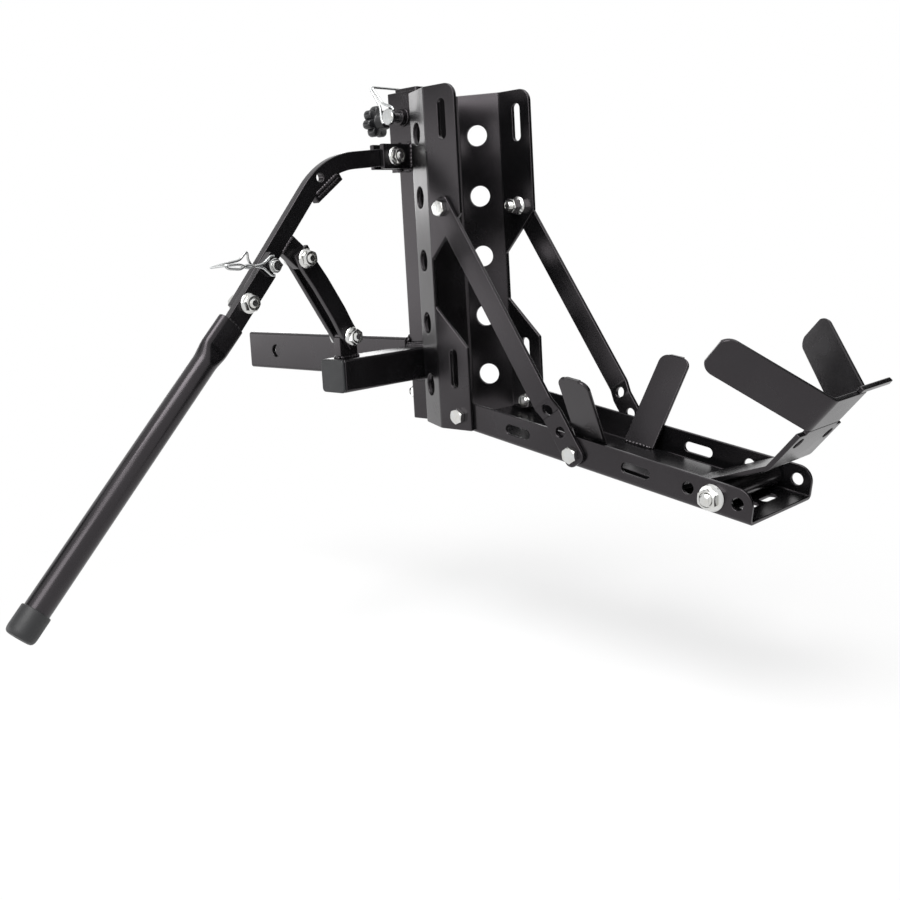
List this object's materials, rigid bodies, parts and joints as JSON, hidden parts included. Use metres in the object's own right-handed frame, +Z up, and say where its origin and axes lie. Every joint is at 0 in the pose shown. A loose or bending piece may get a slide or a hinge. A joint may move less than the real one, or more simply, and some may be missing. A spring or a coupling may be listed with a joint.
{
  "type": "hitch motorcycle carrier",
  "caption": "Receiver-hitch motorcycle carrier with a lever-raised wheel cradle on a mast, a braced tray and a tipping wheel chock.",
  "frame": {"origin": "centre of the hitch pin bore, on the axis of the hitch bar", "axes": "+X rearward from the vehicle along the hitch bar, +Y away from the lever side, +Z up"},
  "size_m": [0.881, 0.6681, 0.5298],
  "materials": {
    "black_coat": "semi-gloss powder coat",
    "zinc": "bright zinc plate",
    "bright_wire": "bright zinc plate",
    "rubber": "matte",
    "knob_plastic": "satin",
    "cap_plastic": "satin"
  },
  "bodies": {
    "hitch_frame": {"hitch_bar": "black_coat", "mast": "black_coat", "stub_arm": "black_coat", "stub_end_cap": "cap_plastic", "stub_link_bracket": "black_coat", "link_foot_bolt": "zinc", "link_foot_nut": "zinc", "guide_bolt": "zinc", "guide_washers": "zinc", "guide_nut": "zinc"},
    "carriage": {"sleeve": "black_coat", "clevis_plates": "black_coat", "lever_pivot_bolt": "zinc", "lever_pivot_nut": "zinc", "lock_pin_bush": "black_coat", "lock_pin": "bright_wire", "knob_nut": "zinc", "v_plate": "black_coat", "tray": "black_coat", "brace_near": "black_coat", "brace_far": "black_coat", "brace_bolts": "zinc", "brace_nuts": "zinc", "tray_bolts": "zinc", "tray_nuts": "zinc", "chock_pivot_bolt": "zinc", "chock_pivot_nut": "zinc"},
    "lock_bail": {"lock_pin_bail": "bright_wire"},
    "clamp_knob": {"knob_screw": "zinc", "star_knob": "knob_plastic"},
    "chock": {"chock_plate": "black_coat", "chock_wings": "black_coat", "chock_lug": "black_coat", "chock_tabs": "black_coat", "chock_pivot_tube": "black_coat"},
    "lever": {"lever_bar": "black_coat", "lever_link_tab": "black_coat", "snap_pin": "bright_wire"},
    "link": {"link_bars": "black_coat", "link_head_bolt": "zinc", "link_head_nut": "zinc"},
    "handle": {"handle_bar": "black_coat", "handle_tube": "black_coat", "foot_cap": "rubber", "handle_bolt": "zinc", "handle_nut": "zinc"},
    "snap_bail": {"snap_pin_bail": "bright_wire"}
  },
  "joints": [
    {"name": "carriage_lift", "type": "slide", "parent": "hitch_frame", "child": "carriage", "axis": [0, 0, 1], "range_m": [-0.055, 0]},
    {"name": "lever_swing", "type": "hinge", "parent": "carriage", "child": "lever", "pos_m": [0.281, -0.053, 0.244], "axis": [1, 0, 0], "range_deg": [-14, 0]},
    {"name": "link_swing", "type": "hinge", "parent": "hitch_frame", "child": "link", "pos_m": [0.281, -0.1385, 0.0395], "axis": [1, 0, 0], "range_deg": [0, 16]},
    {"name": "handle_fold", "type": "hinge", "parent": "lever", "child": "handle", "pos_m": [0.281, -0.2805, 0.0897], "axis": [1, 0, 0], "range_deg": [0, 60]},
    {"name": "snap_bail_swing", "type": "hinge", "parent": "lever", "child": "snap_bail", "pos_m": [0.2986, -0.24625, 0.12681], "axis": [0, 0.0698, 0.9976], "range_deg": [0, 60]},
    {"name": "lock_bail_swing", "type": "hinge", "parent": "carriage", "child": "lock_bail", "pos_m": [0.281, -0.0485, 0.291], "axis": [0.7986, 0, 0.6018], "range_deg": [0, 90]},
    {"name": "knob_turn", "type": "hinge", "parent": "carriage", "child": "clamp_knob", "pos_m": [0.221, 0, 0.294], "axis": [1, 0, 0], "range_deg": [-180, 180]},
    {"name": "chock_tip", "type": "hinge", "parent": "carriage", "child": "chock", "pos_m": [0.70546, 0, -0.11221], "axis": [0, 1, 0], "range_deg": [0, 40]}
  ],
  "couplings": [
    {"joint": "lever_swing", "follows": "carriage_lift", "rad_per_m": 4.2759},
    {"joint": "link_swing", "follows": "carriage_lift", "rad_per_m": -4.9335}
  ]
}
